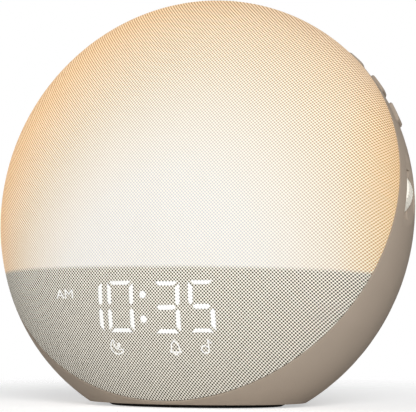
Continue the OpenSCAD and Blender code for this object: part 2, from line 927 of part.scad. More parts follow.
// The pressed basket: a flat flange and a cup with windows, open to the back of the clock.
module speaker_frame() {
    lip = speaker_hole_d / 2 - cone_lap;
    cup = magnet_d / 2;
    hub = magnet_d / 3;
    color(steel) at_speaker() translate([0, 0, -speaker_seat + gasket_t]) difference() {
        rotate_extrude() polygon([
            [lip, 0], [flange_d / 2 - 0.5, 0], [flange_d / 2 - 0.5, flange_t],
            [speaker_hole_d / 2 + 0.6, flange_t],
            [cup + 1, basket_h], [hub, basket_h], [hub, basket_h - basket_t], [cup, basket_h - basket_t],
            [lip, flange_t]]);
        for (i = [0 : 3])
            rotate([0, 0, 45 + 90 * i]) translate([speaker_screw_r, 0, -1]) pilot(flange_t + 2);
        for (i = [0 : 5])
            rotate([0, 0, 60 * i]) translate([magnet_d / 2 + 1.5, 0, basket_h / 2 + 1.5])
                rotate([0, 90, 0]) cylinder(d = 5.5, h = 20, center = true);
    }
}

module speaker_cone() {
    rim = speaker_hole_d / 2 - cone_lap;
    neck = basket_h - basket_t;
    color(near_black) at_speaker() translate([0, 0, -speaker_seat + gasket_t]) rotate_extrude() polygon([
        [0, 5.2], [4, 6], [6, 8], [rim - 4, 1], [rim - 2, -0.4], [rim - fit_gap, 0],
        [rim - fit_gap, 0.5], [rim - 2, 0.1], [rim - 4, 1.6], [6.2, 8.6], [6.2, neck],
        [5.6, neck], [5.6, 8.4], [3.8, 6.6], [0, 5.8]]);
}

module speaker_magnet() {
    color(steel) at_speaker() translate([0, 0, -speaker_seat + gasket_t + basket_h]) difference() {
        cylinder(d = magnet_d, h = magnet_h);
        translate([0, 0, magnet_h - 2]) cylinder(d = 6, h = 3);
    }
}

module speaker_screws() {
    color(steel) at_speaker_screws() translate([0, 0, -speaker_front]) rotate([180, 0, 0])
        small_screw(flange_t + gasket_t + 3);
}

// ---- keys --------------------------------------------------------------

// How far the middle of a key lies from the plane in which the body is widest.
function key_off(step) =
    key_z * cos(seam_tilt - lean) - body_r * sin(key_angle + step * key_step) * sin(seam_tilt - lean);

// The body's surface under a key: its height along the travel, and how far it leans back there.
function key_rise(step) =
    sqrt(pow(body_r, 2) - pow(key_z, 2) - squash * pow(key_off(step), 2)) * cos(step * key_step);
function key_slope(step) =
    -atan((key_z + squash * key_off(step) * cos(seam_tilt - lean)) / body_r);

// One key: a crowned cap, the rim that keeps it in, and the stem that meets its plunger.
module key_cap(step) {
    chamfer = 0.6;
    top = key_rise(step) + key_proud;
    color(housing_colour) {
        difference() {
            intersection() {
                form(-key_proud);
                at_key(step) linear_extrude(body_r + 10) rounded(key_w, key_l, key_r);
                at_key(step) translate([0, 0, top - chamfer]) rotate([-step * key_step, key_slope(step), 0])
                    union() {
                        translate([0, 0, -20]) cube([3 * key_w, 3 * key_l, 40], center = true);
                        linear_extrude(2 * chamfer, scale = 1 - 4 * chamfer / key_l)
                            rounded(key_w + 0.1, key_l + 0.1, key_r, $fn = 32);
                    }
            }
            form(wall + key_flange_t);
        }
        intersection() {
            skin(wall + key_gap, wall + key_flange_t);
            at_key(step) linear_extrude(body_r)
                rounded(key_w + 2 * key_flange, key_l + 2 * key_flange, key_r + key_flange);
        }
        intersection() {
            form(wall + 0.5);
            at_switch(step) translate([0, 0, stem_end]) cylinder(d = stem_d, h = body_r - stem_end);
        }
    }
}

module key_upper() {
    key_cap(1);
}

module key_middle() {
    key_cap(0);
}

module key_lower() {
    key_cap(-1);
}

module plunger(step) {
    base = switch_floor + key_travel + fit_gap;
    color(near_black) at_switch(step) translate([0, 0, base])
        cylinder(d = plunger_d, h = switch_h + plunger_out - base);
}

module plunger_upper() {
    plunger(1);
}

module plunger_middle() {
    plunger(0);
}

module plunger_lower() {
    plunger(-1);
}

module key_board() {
    color(board_green) side_frame(key_angle) difference() {
        translate([key_board_x, 0, key_board_z]) rotate([0, 90, 0])
            linear_extrude(board_t) rounded(key_board_w, key_board_l, 2);
        for (j = [-1, 1])
            translate([key_board_x - 1, j * key_post_y, key_board_z]) rotate([0, 90, 0]) pilot(board_t + 2);
    }
}

module key_switches() {
    color(steel) for (step = [-1 : 1])
        at_switch(step) difference() {
            translate([0, 0, switch_h / 2]) cube([switch_w, switch_w, switch_h], center = true);
            translate([0, 0, switch_floor]) cylinder(d = plunger_d + 0.2, h = switch_h);
        }
}

module key_screws() {
    color(steel) at_key_posts() small_screw(board_t + 4.5);
}

// ---- thumbwheel --------------------------------------------------------

module thumbwheel() {
    r = wheel_d / 2;
    edge = 0.5;
    color(white) at_wheel() translate([0, 0, wheel_back]) difference() {
        rotate_extrude() polygon([
            [shaft_d / 2 + 0.02, 0], [r - edge, 0], [r, edge], [r, wheel_w - edge], [r - edge, wheel_w],
            [r - 2, wheel_w], [r - 2.4, wheel_w - 0.6], [3.4, wheel_w - 0.6], [3.1, wheel_w],
            [shaft_d / 2 + 0.02, wheel_w]]);
        for (i = [0 : groove_count - 1])
            rotate([0, 0, i * 360 / groove_count]) translate([r + groove_d * 0.1, 0, -1])
                cylinder(d = groove_d, h = wheel_w + 2);
    }
}

module wheel_shaft() {
    color(steel) at_wheel() translate([0, 0, encoder_back + clear])
        cylinder(d = shaft_d, h = wheel_front - encoder_back - clear);
}

module wheel_encoder() {
    color(near_black) at_wheel() difference() {
        translate([0, 0, encoder_back + encoder_size[2] / 2]) cube(encoder_size, center = true);
        translate([0, 0, encoder_back - 1]) cylinder(d = shaft_d + 2 * screw_play, h = encoder_size[2] + 2);
    }
}

module wheel_board() {
    color(board_green) difference() {
        side_frame(wheel_angle) translate([wheel_board_x[0], -wheel_board_l / 2, encoder_back - board_t])
            cube([wheel_board_x[1] - wheel_board_x[0], wheel_board_l, board_t]);
        at_wheel_posts() translate([0, 0, -board_t - 1]) pilot(board_t + 2);
    }
}

module wheel_screws() {
    color(steel) at_wheel_posts() translate([0, 0, -board_t]) small_screw(board_t + 4);
}

module housing_screws() {
    color(steel) at_towers() translate([0, 0, tower_seat])
        screw(screw_d, ring_front - tower_seat - 2.4, screw_head_d);
}

rear_housing();
foot_pad();
front_ring();
display_panel();
diffuser();
front_cloth();
light_divider();
reflector();
lamp_board();
lamps();
lamp_screws();
display_mask();
light_guides();
display_board();
display_leds();
display_screws();
main_board();
board_chips();
main_screws();
power_jack();
lamp_ribbon();
display_ribbon();
speaker_grille();
speaker_gasket();
speaker_frame();
speaker_cone();
speaker_magnet();
speaker_screws();
key_upper();
key_middle();
key_lower();
plunger_upper();
plunger_middle();
plunger_lower();
key_board();
key_switches();
key_screws();
thumbwheel();
wheel_shaft();
wheel_encoder();
wheel_board();
wheel_screws();
housing_screws();
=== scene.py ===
import bmesh
import bpy
import math
from mathutils import Matrix, Vector


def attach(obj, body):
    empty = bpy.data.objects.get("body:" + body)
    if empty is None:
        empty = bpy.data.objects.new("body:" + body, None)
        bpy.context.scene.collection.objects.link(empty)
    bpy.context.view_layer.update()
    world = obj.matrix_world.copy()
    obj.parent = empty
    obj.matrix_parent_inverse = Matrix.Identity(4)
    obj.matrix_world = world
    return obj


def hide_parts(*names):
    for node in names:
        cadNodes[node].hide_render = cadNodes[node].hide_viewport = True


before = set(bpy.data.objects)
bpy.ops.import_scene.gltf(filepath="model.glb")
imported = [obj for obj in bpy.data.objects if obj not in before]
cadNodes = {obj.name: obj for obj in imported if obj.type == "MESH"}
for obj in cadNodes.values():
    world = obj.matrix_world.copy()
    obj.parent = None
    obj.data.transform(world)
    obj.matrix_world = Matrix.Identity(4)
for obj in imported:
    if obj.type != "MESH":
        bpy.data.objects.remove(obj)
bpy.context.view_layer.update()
scene = bpy.context.scene
print("frame loaded:", len(cadNodes), "nodes")


def put(tree, kind, inputs=None, **settings):  # one shader node with its links and values
    made = tree.nodes.new(kind)
    for name, value in settings.items():
        setattr(made, name, value)
    for key, value in (inputs or {}).items():
        if isinstance(value, bpy.types.NodeSocket):
            tree.links.new(value, made.inputs[key])
        else:
            made.inputs[key].default_value = value
    return made


def calc(tree, operation, *values):  # a sum of numbers
    return put(tree, "ShaderNodeMath", dict(enumerate(values)), operation=operation).outputs[0]


def vectorCalc(tree, operation, *values):  # a sum of vectors
    return put(tree, "ShaderNodeVectorMath", dict(enumerate(values)), operation=operation).outputs[0]


def measure(tree, operation, *values):  # a vector's length, or a product of two vectors
    return put(tree, "ShaderNodeVectorMath", dict(enumerate(values)), operation=operation).outputs["Value"]


def scaled(tree, vector, factor):
    return put(tree, "ShaderNodeVectorMath", {0: vector, "Scale": factor}, operation="SCALE").outputs[0]


def ranged(tree, value, start, end, low=0.0, high=1.0, kind="LINEAR"):
    limits = {"Value": value, "From Min": start, "From Max": end, "To Min": low, "To Max": high}
    return put(tree, "ShaderNodeMapRange", limits, interpolation_type=kind).outputs[0]


def noise(tree, place, scale, detail, roughness):
    look = {"Vector": place, "Scale": scale, "Detail": detail, "Roughness": roughness}
    return put(tree, "ShaderNodeTexNoise", look).outputs[0]


white = (1, 1, 1, 1)
studio = {
    "cameraAt": (0.252225, -0.543113, 0.027585),
    "cameraAlong": (-0.41710, 0.90638, 0.06734),
    "sensor": 36,
    "lens": 150.73,
    "clip": (0.01, 50),
    "worldLight": 0.1,
    "lampsAimAt": (0, 0, 0.06),
    "lamps": [  # name, place, size, watts
        ("keyLight", (1.0, -1.6, 0.74), 1.0, 37),
        ("fillLight", (-1.6, -0.95, 0.35), 1.4, 13),
        ("sideLight", (1.6, -0.5, 0.9), 1.0, 1),
        ("backLight", (-0.9, 1.4, 1.5), 1.4, 3.5),
    ],
    "floorSize": 6.0,
    "floorColour": (0.8, 0.8, 0.8, 1),
    "floorLift": 0.5,  # lifts the floor to white for the camera, and keeps its shadow
    "floorFadeNear": (0.08, 0.32),  # the camera's view of the floor fades out over this reach
    "floorFadeFar": (0.3, 1.2),  # the floor itself fades out over this one
}


def aim(thing, place, direction):
    thing.location = place
    thing.rotation_euler = Vector(direction).to_track_quat("-Z", "Y").to_euler()
    scene.collection.objects.link(thing)


def buildStudio():
    data = bpy.data.cameras.new("camera")
    data.sensor_width = studio["sensor"]
    data.lens = studio["lens"]
    data.clip_start, data.clip_end = studio["clip"]
    scene.camera = bpy.data.objects.new("camera", data)
    aim(scene.camera, studio["cameraAt"], studio["cameraAlong"])
    for name, place, size, watts in studio["lamps"]:
        light = bpy.data.lights.new(name, "AREA")
        light.size = size
        light.energy = watts
        aim(bpy.data.objects.new(name, light), place, Vector(studio["lampsAimAt"]) - Vector(place))
    scene.view_settings.view_transform = "Standard"
    scene.world = bpy.data.worlds.new("studioWorld")
    scene.world.use_nodes = True
    tree = scene.world.node_tree
    tree.nodes.clear()
    path = put(tree, "ShaderNodeLightPath").outputs
    seen = calc(tree, "MAXIMUM", path["Is Camera Ray"], path["Is Glossy Ray"])
    seen = calc(tree, "MAXIMUM", seen, path["Is Transmission Ray"])
    dim = put(tree, "ShaderNodeBackground", {"Color": white, "Strength": studio["worldLight"]}).outputs[0]
    bright = put(tree, "ShaderNodeBackground", {"Color": white, "Strength": 1.0}).outputs[0]
    mixed = put(tree, "ShaderNodeMixShader", {0: seen, 1: dim, 2: bright}).outputs[0]
    put(tree, "ShaderNodeOutputWorld", {"Surface": mixed})


def buildFloor():
    mesh = bpy.data.meshes.new("floor")
    bm = bmesh.new()
    bmesh.ops.create_grid(bm, x_segments=1, y_segments=1, size=studio["floorSize"] / 2)
    bm.to_mesh(mesh)
    bm.free()
    floor = bpy.data.objects.new("floor", mesh)
    scene.collection.objects.link(floor)
    paper = bpy.data.materials.new("floorPaper")
    paper.use_nodes = True
    tree = paper.node_tree
    tree.nodes.clear()
    path = put(tree, "ShaderNodeLightPath").outputs
    lift = calc(tree, "MULTIPLY", path["Is Camera Ray"], studio["floorLift"])
    matt = put(tree, "ShaderNodeBsdfDiffuse", {"Color": studio["floorColour"]}).outputs[0]
    glow = put(tree, "ShaderNodeEmission", {"Color": white, "Strength": lift}).outputs[0]
    both = put(tree, "ShaderNodeAddShader", {0: matt, 1: glow}).outputs[0]
    place = put(tree, "ShaderNodeTexCoord").outputs["Object"]
    reach = measure(tree, "LENGTH", place)
    near = ranged(tree, reach, *studio["floorFadeNear"], kind="SMOOTHSTEP")
    near = calc(tree, "MULTIPLY", near, path["Is Camera Ray"])
    far = ranged(tree, reach, *studio["floorFadeFar"], kind="SMOOTHSTEP")
    fade = calc(tree, "MAXIMUM", near, far)
    clear = put(tree, "ShaderNodeBsdfTransparent").outputs[0]
    mixed = put(tree, "ShaderNodeMixShader", {0: fade, 1: both, 2: clear}).outputs[0]
    put(tree, "ShaderNodeOutputMaterial", {"Surface": mixed})
    mesh.materials.append(paper)


buildStudio()
buildFloor()
print("camera, light and floor ready")

bodyForm = {  # the form that the cloth, the housing and the display share
    "middleHeight": 0.0651,
    "radius": 0.075,
    "halfThick": 0.04845,
    "lean": 7.1,  # degrees
    "seamTilt": 18.9,  # degrees
    "clothEdge": 0.0090,  # from the middle forward to the cloth's edge
}
middle = Vector((0, 0, bodyForm["middleHeight"]))
lean = math.radians(bodyForm["lean"])
seamTilt = math.radians(bodyForm["seamTilt"])
shortAxis = Vector((0, -math.cos(lean), math.sin(lean)))
seamNormal = Vector((0, -math.cos(seamTilt), math.sin(seamTilt)))


def formNormal(point, inset=0.0):  # outward normal, and how far outside the form the point lies
    radius, thick = bodyForm["radius"] - inset, bodyForm["halfThick"] - inset
    along = (point - middle).dot(shortAxis)
    across = (point - middle) - shortAxis * along
    slope = across / radius**2 + shortAxis * (along / thick**2)
    level = (across.length / radius) ** 2 + (along / thick) ** 2
    return slope.normalized(), (level - 1) / (2 * slope.length)


def frontY(x, z):  # the dome's front at a place seen from the front, measured from the middle
    radius, thick = bodyForm["radius"], bodyForm["halfThick"]
    sine, cosine = math.sin(lean), math.cos(lean)
    square = sine**2 / radius**2 + cosine**2 / thick**2
    linear = 2 * z * sine * cosine * (1 / radius**2 - 1 / thick**2)
    rest = (x**2 + z**2 * cosine**2) / radius**2 + z**2 * sine**2 / thick**2 - 1
    return (-linear - math.sqrt(linear**2 - 4 * square * rest)) / (2 * square)


def addPiece(name, mesh, body, material, replaces=()):
    piece = bpy.data.objects.new(name, mesh)
    scene.collection.objects.link(piece)
    mesh.materials.clear()
    mesh.materials.append(material)
    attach(piece, body)
    if replaces:
        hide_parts(*replaces)
    return piece


def newGroup(name, inputs, outputs):
    tree = bpy.data.node_groups.new(name, "ShaderNodeTree")
    for label, kind, value in inputs:
        socket = tree.interface.new_socket(label, in_out="INPUT", socket_type=kind)
        if value is not None:
            socket.default_value = value
    for label, kind in outputs:
        tree.interface.new_socket(label, in_out="OUTPUT", socket_type=kind)
    return tree, put(tree, "NodeGroupInput").outputs, put(tree, "NodeGroupOutput").inputs


def buildGrainGroup():  # a mould's spark-eroded grain, with slow drifts of tone
    tree, given, out = newGroup(
        "mouldGrain",
        [("Vector", "NodeSocketVector", None), ("Scale", "NodeSocketFloat", grain["scale"])],
        [("Height", "NodeSocketFloat"), ("Tone", "NodeSocketFloat"), ("Speck", "NodeSocketFloat")],
    )
    fine = noise(tree, given["Vector"], given["Scale"], *grain["fine"])
    pitted = {"Vector": given["Vector"], "Scale": given["Scale"], "Smoothness": grain["pitSmoothness"]}
    pits = put(tree, "ShaderNodeTexVoronoi", pitted, feature="SMOOTH_F1").outputs["Distance"]
    tree.links.new(calc(tree, "ADD", fine, pits), out["Height"])
    tree.links.new(noise(tree, given["Vector"], *grain["drift"]), out["Tone"])
    tree.links.new(fine, out["Speck"])
    return tree


def followRim(tree, place):  # beyond a radius the threads are laid down the steep rim, not flat across it
    along = measure(tree, "DOT_PRODUCT", place, seamNormal)
    flat = vectorCalc(tree, "SUBTRACT", place, scaled(tree, seamNormal, along))
    reach = measure(tree, "LENGTH", flat)
    past = calc(tree, "MAXIMUM", calc(tree, "SUBTRACT", reach, knit["steepFrom"]), 0.0)
    drawn = calc(tree, "MULTIPLY", calc(tree, "POWER", past, knit["steepPower"]), knit["steepGain"])
    drawn = calc(tree, "DIVIDE", drawn, reach)
    return vectorCalc(tree, "ADD", place, scaled(tree, flat, drawn))


def buildKnitGroup():  # a weave laid on the bias: threads where both waves are high, holes where both are low
    tree, given, out = newGroup(
        "knit",
        [("Vector", "NodeSocketVector", None)],
        [("Thread", "NodeSocketFloat"), ("Height", "NodeSocketFloat"), ("Fuzz", "NodeSocketFloat")],
    )
    place = followRim(tree, vectorCalc(tree, "SUBTRACT", given["Vector"], middle))
    waves, halves = [], []
    for direction in knit["directions"]:
        turns = Vector(direction) * (2 * math.pi * perMillimetre)
        phase = measure(tree, "DOT_PRODUCT", place, turns)
        waves.append(calc(tree, "COSINE", phase))
        halves.append(calc(tree, "COSINE", calc(tree, "MULTIPLY", phase, 0.5)))
    firm = calc(tree, "MULTIPLY", waves[0], knit["firstSet"])
    both = calc(tree, "MULTIPLY_ADD", waves[1], 2 - knit["firstSet"], firm)
    thread = ranged(tree, both, -2.0, 2.0)
    over = calc(tree, "MULTIPLY", halves[0], halves[1])
    fuzz = noise(tree, place, *knit["fuzz"])
    lay = calc(tree, "MULTIPLY_ADD", over, knit["overUnder"], thread)
    tree.links.new(thread, out["Thread"])
    tree.links.new(calc(tree, "MULTIPLY_ADD", fuzz, knit["fuzzHeight"], lay), out["Height"])
    tree.links.new(fuzz, out["Fuzz"])
    return tree


def buildBrushGroup():  # rolled and plated metal: short scratches one way, and a cloudy sheen
    tree, given, out = newGroup(
        "rolledMetal",
        [("Vector", "NodeSocketVector", None), ("Scale", "NodeSocketFloat", rolled["scale"])],
        [("Height", "NodeSocketFloat"), ("Cloud", "NodeSocketFloat")],
    )
    stretched = vectorCalc(tree, "MULTIPLY", given["Vector"], rolled["stretch"])
    tree.links.new(noise(tree, stretched, given["Scale"], *rolled["lines"]), out["Height"])
    tree.links.new(noise(tree, given["Vector"], *rolled["cloud"]), out["Cloud"])
    return tree


def buildTraceGroup():  # copper tracks that show through a circuit board's lacquer
    tree, given, out = newGroup(
        "boardTraces",
        [("Vector", "NodeSocketVector", None), ("Scale", "NodeSocketFloat", traces["scale"])],
        [("Trace", "NodeSocketFloat"), ("Cloud", "NodeSocketFloat")],
    )
    celled = {"Vector": given["Vector"], "Scale": given["Scale"], "Randomness": traces["randomness"]}
    cells = put(tree, "ShaderNodeTexVoronoi", celled, feature="F1", distance="CHEBYCHEV").outputs["Distance"]
    tree.links.new(ranged(tree, cells, *traces["edge"], kind="SMOOTHSTEP"), out["Trace"])
    tree.links.new(noise(tree, given["Vector"], *traces["cloud"]), out["Cloud"])
    return tree


perMillimetre = 1000
grain = {
    "scale": 2200.0,
    "fine": (2.0, 0.6),  # detail and roughness
    "pitSmoothness": 0.6,
    "drift": (28.0, 3.0, 0.55),  # scale, detail and roughness
}
knit = {
    "directions": [(-0.937, -0.217, -0.880), (0.888, 0.015, -0.948)],  # turns per millimetre, one row per set
    "steepFrom": 0.0705,  # the radius beyond which the threads follow the rim
    "steepGain": 30000.0,
    "steepPower": 3.0,
    "firstSet": 1.065,  # how firm the first set of threads is, out of two
    "overUnder": 0.12,
    "fuzz": (9000.0, 3.0, 0.7),  # scale, detail and roughness
    "fuzzHeight": 0.25,
    "fuzzTone": (0.9, 1.06),
    "threadFrom": 0.41,
    "threadFull": 0.53,
    "threadColour": (0.97, 0.932, 0.83),
    # the holes are painted dark: the dark panels behind the cloth, and painted shade down inside the weave
    "holeDarkPartsAndShade": (0.05, 0.034, 0.016, 1),
    "relief": 0.00002,
    "reliefStrength": 0.6,
    "roughness": 0.85,
    "sheen": 0.04,
    "sheenTint": (1.0, 0.86, 0.68, 1),
    "sheenRoughness": 0.5,
    "gloss": 0.05,
}
rolled = {
    "scale": 900.0,
    "stretch": (1.0, 1.0, 0.12),
    "lines": (4.0, 0.65),  # detail and roughness
    "cloud": (60.0, 2.0, 0.5),
}
traces = {
    "scale": 420.0,
    "randomness": 0.75,
    "edge": (0.34, 0.4),
    "cloud": (90.0, 2.0, 0.5),
}
grainGroup = buildGrainGroup()
knitGroup = buildKnitGroup()
metalGroup = buildBrushGroup()
traceGroup = buildTraceGroup()


def newMaterial(name):
    material = bpy.data.materials.new(name)
    material.use_nodes = True
    tree = material.node_tree
    tree.nodes.clear()
    place = put(tree, "ShaderNodeTexCoord").outputs["Object"]
    shader = put(tree, "ShaderNodeBsdfPrincipled")
    put(tree, "ShaderNodeOutputMaterial", {"Surface": shader.outputs[0]})
    return material, tree, place, shader.inputs


def mixTone(tree, mask, dark, light):
    return put(tree, "ShaderNodeMix", {0: mask, 6: dark, 7: light}, data_type="RGBA").outputs[2]


def shade(colour, factor):
    return tuple(min(1.0, part * factor) for part in colour[:3]) + (1,)


def spread(tree, mask, low, high):  # a noise turned into a range of values
    return ranged(tree, mask, *surface["noise"], low, high)


def addBump(tree, shader, height, depth, strength=1.0):
    bump = put(tree, "ShaderNodeBump", {"Strength": strength, "Distance": depth, "Height": height})
    tree.links.new(bump.outputs[0], shader["Normal"])


def groupIn(tree, group, **values):
    made = put(tree, "ShaderNodeGroup", node_tree=group)
    for name, value in values.items():
        if isinstance(value, bpy.types.NodeSocket):
            tree.links.new(value, made.inputs[name])
        else:
            made.inputs[name].default_value = value
    return made.outputs


surface = {
    "noise": (0.3, 0.7),  # nearly all of a noise lies between these
    "plasticSpread": 0.07,  # of the roughness, each way
    "glowShade": 0.9,
    "metalShade": 0.88,
    "metalSpread": (-0.08, 0.1),
    "metalRelief": 0.00001,
    "boardShade": 0.85,
    "boardRoughness": (0.28, 0.4),
    "trackRelief": 0.00003,
}


def plastic(name, colour, roughness, grainScale=2200.0, depth=0.00003, drift=0.06, glow=None, gloss=0.5):
    material, tree, place, shader = newMaterial(name)
    grained = groupIn(tree, grainGroup, Vector=place, Scale=grainScale)
    tone = spread(tree, grained["Tone"], 0.0, 1.0)
    base = mixTone(tree, tone, shade(colour, 1 - drift), shade(colour, 1 + drift))
    tree.links.new(base, shader["Base Color"])
    low, high = roughness - surface["plasticSpread"], roughness + surface["plasticSpread"]
    tree.links.new(spread(tree, grained["Speck"], low, high), shader["Roughness"])
    addBump(tree, shader, grained["Height"], depth)
    shader["Specular IOR Level"].default_value = gloss
    if glow:
        dimmed = shade(glow["colour"], surface["glowShade"])
        tree.links.new(mixTone(tree, tone, dimmed, glow["colour"]), shader["Emission Color"])
        shader["Emission Strength"].default_value = glow["strength"]
    return material


def metal(name, colour, roughness, scale=900.0):
    material, tree, place, shader = newMaterial(name)
    brushed = groupIn(tree, metalGroup, Vector=place, Scale=scale)
    cloud = spread(tree, brushed["Cloud"], 0.0, 1.0)
    tree.links.new(mixTone(tree, cloud, shade(colour, surface["metalShade"]), colour), shader["Base Color"])
    low, high = (roughness + step for step in surface["metalSpread"])
    tree.links.new(spread(tree, brushed["Height"], low, high), shader["Roughness"])
    shader["Metallic"].default_value = 1.0
    addBump(tree, shader, brushed["Height"], surface["metalRelief"])
    return material


def board(name, colour, trackColour):
    material, tree, place, shader = newMaterial(name)
    traced = groupIn(tree, traceGroup, Vector=place)
    cloud = spread(tree, traced["Cloud"], 0.0, 1.0)
    tinted = mixTone(tree, cloud, shade(colour, surface["boardShade"]), colour)
    tree.links.new(mixTone(tree, traced["Trace"], tinted, trackColour), shader["Base Color"])
    tree.links.new(spread(tree, traced["Cloud"], *surface["boardRoughness"]), shader["Roughness"])
    addBump(tree, shader, traced["Trace"], surface["trackRelief"])
    return material


housingColour = (0.395, 0.326, 0.262, 1)
opalGlow = {"colour": (1.0, 0.72, 0.42, 1), "strength": 0.25}
guideGlow = {"colour": white, "strength": 0.2}
lampGlow = {"colour": (1.0, 0.76, 0.4, 1), "strength": 0.6}
finishes = {  # name, colour, roughness
    "housing": plastic("housingPlastic", housingColour, 0.7, 1900.0, depth=0.000025, drift=0.05, gloss=0.05),
    "key": plastic("keyPlastic", housingColour, 0.66, 2600.0, depth=0.000008, drift=0.03, gloss=0.05),
    "darkPlastic": plastic("darkPlastic", (0.03, 0.027, 0.025, 1), 0.55),
    "foot": plastic("footRubber", (0.035, 0.032, 0.03, 1), 0.8, 1200.0, depth=0.00006),
    "opal": plastic("opalPlastic", (0.95, 0.92, 0.86, 1), 0.5, glow=opalGlow),
    "guide": plastic("clearGuide", (0.9, 0.92, 0.94, 1), 0.25, glow=guideGlow),
    "white": plastic("whitePlastic", (0.88, 0.87, 0.84, 1), 0.42),
    "wheel": plastic("wheelPlastic", (0.95, 0.91, 0.81, 1), 0.5, 2600.0, depth=0.000012, drift=0.04, gloss=0.3),
    "chip": plastic("chipPlastic", (0.025, 0.025, 0.028, 1), 0.6, 3000.0),
    "lamp": plastic("lampPhosphor", (0.95, 0.72, 0.22, 1), 0.35, glow=lampGlow),
    "ribbon": plastic("ribbonCable", (0.78, 0.78, 0.75, 1), 0.5),
    "cone": plastic("conePaper", (0.02, 0.02, 0.022, 1), 0.85, 1500.0, depth=0.0001, drift=0.2),
    "gasket": plastic("gasketFoam", (0.03, 0.03, 0.03, 1), 0.9, 1400.0, depth=0.00015, drift=0.2),
    "steel": metal("zincSteel", (0.66, 0.67, 0.69, 1), 0.32),
    "magnet": metal("magnetSteel", (0.22, 0.22, 0.23, 1), 0.45),
    "greenBoard": board("greenBoard", (0.02, 0.12, 0.06, 1), (0.04, 0.2, 0.09, 1)),
    "whiteBoard": board("whiteBoard", (0.78, 0.78, 0.76, 1), (0.84, 0.84, 0.82, 1)),
}
wearing = {  # the nodes that stay as they are, by finish
    "foot": ["foot_pad"],
    "darkPlastic": ["front_ring", "display_panel", "display_mask", "wheel_encoder", "power_jack"],
    "opal": ["diffuser"],
    "guide": ["light_guides"],
    "white": ["light_divider", "reflector", "display_leds"],
    "wheel": ["thumbwheel"],
    "chip": ["board_chips", "plunger_upper", "plunger_middle", "plunger_lower"],
    "lamp": ["lamps"],
    "ribbon": ["lamp_ribbon", "display_ribbon"],
    "cone": ["speaker_cone"],
    "gasket": ["speaker_gasket"],
    "steel": ["lamp_screws", "display_screws", "main_screws", "speaker_screws", "key_screws", "wheel_screws",
              "housing_screws", "speaker_frame", "key_switches", "wheel_shaft"],
    "magnet": ["speaker_magnet"],
    "greenBoard": ["display_board", "main_board", "key_board", "wheel_board"],
    "whiteBoard": ["lamp_board"],
}
for finish, names in wearing.items():
    for name in names:
        mesh = cadNodes[name].data
        mesh.materials.clear()
        mesh.materials.append(finishes[finish])
print("finishes ready:", len(finishes))

shell = {
    "weld": 2e-6,
    "sliver": 1e-7,
    "sharpAngle": 28,  # degrees
    "nearForm": 0.00004,  # a face this near the form takes the form's own normals
    "alongForm": 0.97,
    "keyProud": 0.001,
}


def smoothCopy(name, nodeName, body, material, inset=0.0):  # a solid with the form's true normals
    mesh = cadNodes[nodeName].data.copy()
    mesh.name = name
    bm = bmesh.new()
    bm.from_mesh(mesh)
    bmesh.ops.remove_doubles(bm, verts=bm.verts, dist=shell["weld"])
    bmesh.ops.dissolve_degenerate(bm, edges=bm.edges, dist=shell["sliver"])
    for face in bm.faces:
        face.smooth = True
    for edge in bm.edges:
        edge.smooth = edge.calc_face_angle(0.0) < math.radians(shell["sharpAngle"])
    bm.to_mesh(mesh)
    bm.free()
    normals = [corner.vector.copy() for corner in mesh.corner_normals]
    for face in mesh.polygons:
        corners = [formNormal(mesh.vertices[v].co, inset) for v in face.vertices]
        near = all(abs(off) < shell["nearForm"] for normal, off in corners)
        if near and all(face.normal.dot(normal) > shell["alongForm"] for normal, off in corners):
            for loop, (normal, off) in zip(face.loop_indices, corners):
                normals[loop] = normal
    mesh.normals_split_custom_set(normals)
    return addPiece(name, mesh, body, material, [nodeName])


smoothCopy("housingShell", "rear_housing", "clock", finishes["housing"])
smoothCopy("grilleDisc", "speaker_grille", "clock", finishes["housing"])
smoothCopy("keyUpper", "key_upper", "upper_key", finishes["key"], -shell["keyProud"])
smoothCopy("keyMiddle", "key_middle", "middle_key", finishes["key"], -shell["keyProud"])
smoothCopy("keyLower", "key_lower", "lower_key", finishes["key"], -shell["keyProud"])
print("housing, grille and keys ready")

cloth = {
    "thickness": 0.0009,
    "edgeInset": 0.00003,  # how far the cloth is drawn in at its edge
    "edgeReach": 0.014,
    "hem": 0.00015,  # radius of the turned edge
    "hemDepth": 0.8,
    "hemCuts": [0.00003, 0.00008, 0.00015, 0.002],
    "rings": 96,
    "turns": 192,
    "weld": 1e-6,
    "sharpAngle": 40,  # degrees
    "flatShare": 1.13,  # side of the flat sheet over that of a square with the cloth's area
    "lightLine": (0.00975, 0.0459, 1.0),  # direction across the level line where the light ends
    "lightLineAt": -0.02155,
    "lightSoft": 0.0009,
    "glowMiddle": (0.002, 0.0, -0.051),
    "glowTurn": 0.254,
    "glowReach": (0.0552, 1.0, 0.0888),
    "glowSpan": 1.8,
    "left": (-0.055, 0.0),
    "leftGain": 1.2,  # the lamp stands nearer the left
    "right": (0.060, 0.074),
    "rightLight": (1.0, 0.77, 0.12, 1),  # the glow is most orange at the right rim
    # painted glow: the lit threads' colour is warmed at the right rim, where the glow is most orange
    "rightThreadsPaintedGlow": (1.0, 0.95, 0.88, 1),
    "glow": [  # distance, light from the holes, light from the threads, painted glow tint of the threads' colour
        (0.60, (0.609, 0.614, 0.660), (0.006, 0.004, 0.003), (1.0, 1.0, 1.0)),
        (0.72, (0.605, 0.595, 0.614), (0.006, 0.003, 0.002), (1.0, 1.0, 1.0)),
        (0.85, (0.609, 0.539, 0.502), (0.006, 0.003, 0.001), (1.0, 1.0, 1.0)),
        (1.00, (0.558, 0.437, 0.344), (0.014, 0.006, 0.002), (1.0, 1.0, 0.98)),
        (1.15, (0.493, 0.316, 0.195), (0.064, 0.026, 0.008), (1.0, 1.0, 0.935)),
        (1.32, (0.451, 0.264, 0.140), (0.185, 0.074, 0.022), (1.0, 0.95, 0.83)),
        (1.50, (0.446, 0.251, 0.102), (0.270, 0.105, 0.030), (1.0, 0.89, 0.70)),
    ],
}


